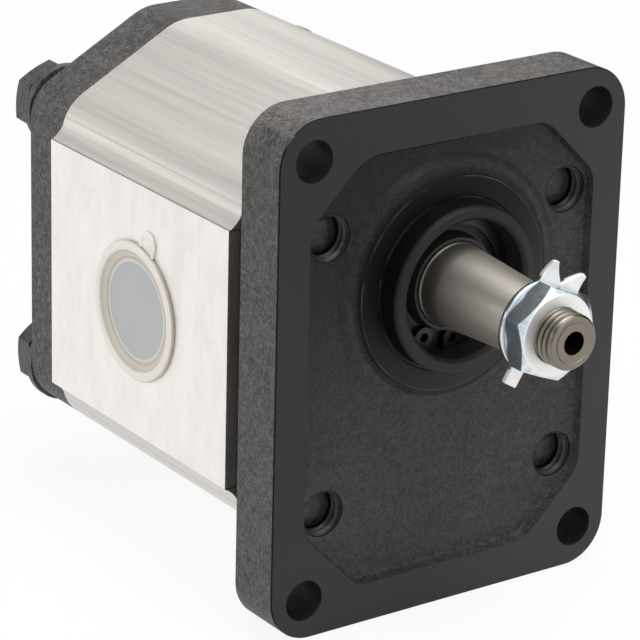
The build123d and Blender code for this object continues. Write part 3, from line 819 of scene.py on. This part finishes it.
outer_thread = shaft_end(thread_rows(-38.7, -28.0, SHAFT_ROOT, SHAFT_CREST, (0.01, 0.4)))
thread_piece(
    "shaft_thread", (0, 0), outer_thread, 4.0, "drive_shaft", thread_steel
)
inner_thread = thread_rows(2.3, 5.3, HOLE_ROOT, HOLE_CREST, (0.5, 0.1))
offsets = (-BOLT_OFFSET, BOLT_OFFSET)
hole_places = [(x, SECTION_Z + z) for x in offsets for z in offsets]
for number, place in enumerate(hole_places, start=1):
    thread_piece(
        f"tapped_hole_thread_{number}", place, inner_thread, 5.02, "housing",
        tapped_iron,
    )

# %% [markdown]
# ## The tab washer
# The washer locks the nut: two pointed tabs stand out on one side and a square one opposite, and
# the points are bent a little towards the nut. It is one ring whose outer edge is a distance that
# depends on the angle, so tabs and disc come from one formula and no seam shows between them.

# %% Washer with its tabs
WASHER_BORE, WASHER_RADIUS = 6.2, 9.7
WASHER_FRONT, WASHER_THICKNESS = WASHER_FACE + 0.01, 1.18
# Of each tab: the angle in degrees, the widths of foot and tip, and the reach from the axis.
TABS = ((41, 5.4, 1.1, 14.0), (77, 5.4, 1.1, 14.0), (239, 3.4, 3.2, 13.3))


def tab_edge(angle, middle, foot, tip, reach):
    """Distance of a tab's edge from the axis at each angle. A side is a straight line from half
    the foot at the disc to half the tip at the reach, and the end is square to the tab."""
    off = np.abs((angle - np.radians(middle) + np.pi) % (2 * np.pi) - np.pi)
    slope = (tip - foot) / 2 / (reach - WASHER_RADIUS)
    side = (foot / 2 - slope * WASHER_RADIUS) / np.maximum(np.sin(off) - slope * np.cos(off), 0.01)
    end = reach / np.maximum(np.cos(off), 0.2)
    edge = -np.logaddexp(-side * 6, -end * 6) / 6
    return np.where(off < 0.6, edge, 0.0)


def washer_surface(columns=1440):
    """Rows run round the ring's section, whose outer side lies at the edge for each angle.
    Beyond the nut the tabs lean forward with the square of the distance."""
    angle = np.linspace(0, 2 * np.pi, columns, endpoint=False)[None, :]
    edge = np.full_like(angle, WASHER_RADIUS)
    for tab in TABS:
        edge = np.maximum(edge, tab_edge(angle, *tab))
    across = np.linspace(0, 1, 12)
    flat = 0.15 - 0.37 * across
    back = np.full_like(across, WASHER_THICKNESS)
    rim = WASHER_THICKNESS - np.array([1.13, 0.98, 0.2, 0.05])
    share = np.concatenate([across, [1, 1, 1, 1], across[::-1], [0, 0]])[:, None]
    inset = np.concatenate([flat, [-0.06, 0, 0, -0.06], flat[::-1], [0, 0]])
    depth = np.concatenate([0 * across, rim, back, [WASHER_THICKNESS - 0.15, 0.15]])
    radius = WASHER_BORE + (edge - WASHER_BORE) * share + inset[:, None]
    lean = -0.075 * np.clip(radius - 10.6, 0, None) ** 2 * (np.sin(angle) + np.cos(angle) > 0)
    y = WASHER_FRONT + depth[:, None] + lean
    return np.stack([radius * np.cos(angle), y, radius * np.sin(angle)], axis=-1)


washer = grid_piece(
    "pointed_tab_washer", washer_surface(), "drive_shaft", zinc, wrap=(True, True)
)
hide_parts("tab_washer")

# %% [markdown]
# ## The transit plugs
# A moulded plug closes each port: a soft rim, a dished floor that shows the dark bore through the
# milky plastic, and a tongue to pull it out by. This finish lets no light pass through, so it
# paints what such light does: cream where the plastic is thick, grey where it's thin.

# %% Plug finish
INLET_LIP, OUTLET_LIP, LIP_WIDTH = 15.6, 13.6, 1.9


def make_plug_finish(name, rim):
    """Milky plastic: cream in the thick rim, tan where the wall dips, grey over the bore."""
    finish = Finish(name, Metallic=0.0)
    finish.set("Coat Weight", 0.2)
    _, y, z = finish.place((0, BODY_MIDDLE, SECTION_Z))
    radius = distance(y, z)
    cloud = finish.noise(2.5, detail=3.0)
    cream, wall, floor = (0.73, 0.685, 0.63), (0.53, 0.49, 0.42), (0.405, 0.41, 0.415)
    line = finish.near(radius, rim - 2.75, 0.1, 0.35)
    inner = finish.mix(finish.rise(radius, rim - 3.0, rim - 2.3), floor, wall)
    inner = finish.mix(line * 0.6, inner, cream)
    face = finish.mix(finish.rise(radius, rim - 0.5, rim - 0.1), inner, cream)
    thin = finish.rise(radius, rim + 1.5, rim + 1.85)
    thin = thin * (1 - finish.rise(radius, rim + 1.9, rim + 2.3))
    moulded = finish.mix(thin, face, shaded(wall, 0.9))
    tongue = finish.rise(radius, rim + 1.95, rim + 2.4)
    finish.set("Base Color", finish.mix(tongue, moulded, (0.81, 0.765, 0.73)))
    finish.set("Roughness", 0.32 + cloud * 0.12)
    finish.set("Normal", finish.bump(cloud, 0.04))
    return finish.material


inlet_finish = make_plug_finish("inlet_plug_plastic", INLET_LIP - LIP_WIDTH)
outlet_finish = make_plug_finish("outlet_plug_plastic", OUTLET_LIP - LIP_WIDTH)
print("plug finishes:", inlet_finish.name, outlet_finish.name)

# %% [markdown]
# ### Outlines that turn and shrink
# Rim, wall, floor and shank are one section turned round the port's axis. The tongue is a flat
# outline that shrinks as it rises, which rounds its edge.


# %% Plug shape
def turned_ring(section, side, steps=128):
    """A closed section of (radius, height) carried once round the port's axis."""
    radius, height = np.asarray(section, float).T[:, :, None]
    angle = np.linspace(0, 2 * np.pi, steps, endpoint=False)[None, :]
    return np.stack(
        [
            side * (PAD_FACE + height) + 0 * angle,
            BODY_MIDDLE + radius * np.cos(angle),
            SECTION_Z + radius * np.sin(angle),
        ],
        axis=-1,
    )


def softened(section, passes=2):
    """Corners cut twice: each side keeps its middle three fifths, so the line turns smooth."""
    points = np.asarray(section, float)
    for _ in range(passes):
        following = np.vstack([points[1:], points[-1:]])
        near, far = 0.8 * points + 0.2 * following, 0.2 * points + 0.8 * following
        cut = np.stack([near, far], axis=1)[:-1].reshape(-1, 2)
        points = np.vstack([points[:1], cut, points[-1:]])
    return points


def plug_tongue(lip, side, steps=48):
    """Outline of the tongue, a strip with a round end, carried up over a soft edge: the
    outline shrinks towards its middle line as the height grows."""
    lean = np.radians(90 + 17.0)
    half, start, length = 2.9, lip - 1.0, 2.7
    round_end = np.linspace(-np.pi / 2, np.pi / 2, steps)
    u = np.concatenate([[start - 1.5], start + length + half * np.cos(round_end), [start - 1.5]])
    v = np.concatenate([[-half], half * np.sin(round_end), [half]])
    shrink = np.array([0.0, 0.0, 0.15, 0.45, 0.75, 0.95, 2.9])[:, None]
    height = np.array([0.02, 0.45, 0.68, 0.76, 0.64, 0.4, 0.4])[:, None]
    scale = np.maximum(1 - shrink / half, 0)
    middle = start + length / 2
    u_all = middle + (u - middle) * scale
    v_all = v * scale
    y = BODY_MIDDLE + u_all * np.cos(lean) - v_all * np.sin(lean)
    z = SECTION_Z + u_all * np.sin(lean) + v_all * np.cos(lean)
    return np.stack([side * (PAD_FACE + height) + 0 * y, y, z], axis=-1)


# %% [markdown]
# ### Both plugs
# The ports differ in size only, so one function makes either plug from the radius of its lip,
# the widest circle. All other radii are that radius less a wall or a step.


# %% Two plugs
def make_plug(name, node, side, lip, material):
    """Lip, sloping wall, floor and shank as one turned ring, and a tongue at its edge."""
    rim, shank = lip - LIP_WIDTH, lip - 4.0
    floor = rim - 2.8
    outside = [
        (0.0, -0.25), (floor - 0.5, -0.25), (floor - 0.15, -0.05), (floor + 0.15, -0.05),
        (floor + 0.5, -0.15), (rim - 0.9, 0.25), (rim - 0.2, 0.95), (rim + 0.15, 1.15),
        (rim + 0.8, 1.05), (lip - 0.35, 0.9), (lip - 0.02, 0.62), (lip, 0.3), (lip - 0.2, 0.02),
    ]
    inside = [
        (shank, 0.02), (shank, -9.2), (shank - 0.3, -9.5), (shank - 1.2, -9.5),
        (shank - 1.5, -9.2), (shank - 1.5, -3.2), (0.0, -3.2),
    ]
    section = np.vstack([softened(outside), inside])
    plug = grid_piece(
        name, turned_ring(section[1:-1], side), node, material,
        poles=(0, -1),
    )
    tongue = grid_piece(
        f"{name}_tongue", plug_tongue(lip, side), node, material,
        poles=(0, -1),
    )
    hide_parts(node)
    return plug, tongue


make_plug("inlet_plug_moulding", "inlet_plug", -1, INLET_LIP, inlet_finish)
make_plug("outlet_plug_moulding", "outlet_plug", 1, OUTLET_LIP, outlet_finish)

# %% [markdown]
# ## Floor and light
# The pump stands on a plain pale floor in a white room. A wide square would do for the floor, but
# it would end in a grey horizon, so most of what the camera sees of it is plain white.

# %% Floor
FLANGE_HALF_HEIGHT = 56.8
FLOOR_HEIGHT = SECTION_Z - FLANGE_HALF_HEIGHT


def make_floor():
    """A wide white square. The camera sees it partly as plain white, so that the room has no
    horizon, and it keeps the pump's soft shadow."""
    side = 3000.0
    corners = np.array([[-side, -side], [side, -side], [side, side], [-side, side]])
    points = np.column_stack([corners, np.full(4, FLOOR_HEIGHT)]) * MM
    mesh = bpy.data.meshes.new("floor")
    mesh.from_pydata(points.tolist(), [], [(0, 1, 2, 3)])
    floor = bpy.data.objects.new("floor", mesh)
    bpy.context.scene.collection.objects.link(floor)
    finish = Finish("floor_white", Roughness=0.9)
    finish.set("Base Color", (0.82, 0.82, 0.82))
    glow = finish.node("ShaderNodeEmission", None, {"Color": (1, 1, 1), "Strength": 1.0})
    rays = ("Is Camera Ray", "Is Glossy Ray", "Is Transmission Ray")
    seen = sum(finish.node("ShaderNodeLightPath", output=ray) for ray in rays).lower(1.0)
    shown = finish.node(
        "ShaderNodeMixShader",
        None,
        {0: seen * 0.9, 1: Value(finish, finish.shader.outputs[0]), 2: glow},
    )
    output = finish.tree.nodes["Material Output"]
    finish.tree.links.new(shown.socket, output.inputs["Surface"])
    mesh.materials.append(finish.material)
    return floor


make_floor()
print("floor at Z, mm:", FLOOR_HEIGHT)

# %% [markdown]
# ### The sky
# The camera and the reflections see white. What lights the pump is a soft sky, weaker below.


# %% Sky
def make_sky(below, above):
    """White for the camera and for reflections. What lights the pump is a soft sky whose
    strength goes from below to above with the height that a ray looks up to."""
    world = bpy.data.worlds.new("studio")
    bpy.context.scene.world = world
    world.use_nodes = True
    tree = world.node_tree
    tree.nodes.clear()
    new, link = tree.nodes.new, tree.links.new
    coordinates, parts = new("ShaderNodeTexCoord"), new("ShaderNodeSeparateXYZ")
    path, height = new("ShaderNodeLightPath"), new("ShaderNodeMapRange")
    camera_or_glossy, seen = new("ShaderNodeMath"), new("ShaderNodeMath")
    camera_or_glossy.operation = seen.operation = "MAXIMUM"
    soft, white = new("ShaderNodeBackground"), new("ShaderNodeBackground")
    mixed, output = new("ShaderNodeMixShader"), new("ShaderNodeOutputWorld")
    for number, value in enumerate((-0.5, 1.0, below, above), start=1):
        height.inputs[number].default_value = value
    for backdrop in (soft, white):
        backdrop.inputs["Color"].default_value = (1, 1, 1, 1)
    link(coordinates.outputs["Generated"], parts.inputs[0])
    link(parts.outputs["Z"], height.inputs[0])
    link(height.outputs[0], soft.inputs["Strength"])
    link(path.outputs["Is Camera Ray"], camera_or_glossy.inputs[0])
    link(path.outputs["Is Glossy Ray"], camera_or_glossy.inputs[1])
    link(camera_or_glossy.outputs[0], seen.inputs[0])
    link(path.outputs["Is Transmission Ray"], seen.inputs[1])
    link(seen.outputs[0], mixed.inputs[0])
    link(soft.outputs[0], mixed.inputs[1])
    link(white.outputs[0], mixed.inputs[2])
    link(mixed.outputs[0], output.inputs["Surface"])
    return world


make_sky(0.25, 0.53)
print("world:", bpy.context.scene.world.name)

# %% [markdown]
# ### Panels
# Three soft panels light the pump: on the left, in front and above. Wide ones were chosen, because
# a small lamp would draw hard shadows.


# %% Panels
def make_panel(name, place, target, size, power):
    """A rectangular soft light in mm that faces a point, with its power in watts."""
    lamp = bpy.data.lights.new(name, "AREA")
    lamp.shape = "RECTANGLE"
    lamp.size, lamp.size_y = size[0] * MM, size[1] * MM
    lamp.energy = power
    panel = bpy.data.objects.new(name, lamp)
    spot, aim = Vector(place) * MM, Vector(target) * MM
    panel.matrix_world = Matrix.Translation(spot) @ (aim - spot).to_track_quat(
        "-Z", "Y"
    ).to_matrix().to_4x4()
    bpy.context.scene.collection.objects.link(panel)
    return panel


make_panel("left_panel", (-850, 250, 350), (0, 50, -15), (600, 700), 3.15)
make_panel("front_panel", (250, -900, 500), (0, 0, -15), (500, 500), 1.55)
make_panel("top_panel", (60, -60, 800), (0, 20, 0), (500, 700), 6.0)
print("lights:", len(bpy.data.lights))

# %% [markdown]
# ### Cards
# Dark and grey cards and one bright strip are there for reflections only. They draw the lines
# that tell the eye that steel is round.


# %% Cards
def make_card(name, place, target, size, shade):
    """A board in mm that only reflections see. Its shade is 0 for black, 1 for white, and more
    for a lit strip."""
    half = np.array(size) / 2 * MM
    corners = np.array([[-1, -1, 0], [1, -1, 0], [1, 1, 0], [-1, 1, 0]]) * [*half, 0]
    spot, aim = Vector(place) * MM, Vector(target) * MM
    turn = (aim - spot).to_track_quat("-Z", "Y").to_matrix()
    mesh = bpy.data.meshes.new(name)
    mesh.from_pydata([(turn @ Vector(c) + spot)[:] for c in corners], [], [(0, 1, 2, 3)])
    card = bpy.data.objects.new(name, mesh)
    bpy.context.scene.collection.objects.link(card)
    for ray in ("camera", "diffuse", "shadow", "transmission"):
        setattr(card, f"visible_{ray}", False)
    finish = Finish(f"{name}_cloth", Roughness=1.0)
    finish.set("Base Color", (0, 0, 0))
    finish.set("Specular IOR Level", 0.0)
    finish.set("Emission Color", (shade, shade, shade))
    finish.set("Emission Strength", 1.0)
    mesh.materials.append(finish.material)
    return card


make_card("upper_left_card", (-340, -150, 300), (0, -150, 0), (900, 250), 0.0)
make_card("left_card", (-420, -150, 37), (0, -150, 0), (900, 170), 0.35)
make_card("lower_left_card", (-400, -150, -235), (0, -150, 0), (900, 260), 0.0)
make_card("back_card", (-230, 720, 560), (0, 50, 0), (1000, 700), 0.5)
make_card("overhead_strip", (76, -120, 393), (0, -120, 0), (500, 120), 4.3)
make_card("right_card", (400, 150, 110), (0, 150, 0), (700, 760), 0.0)
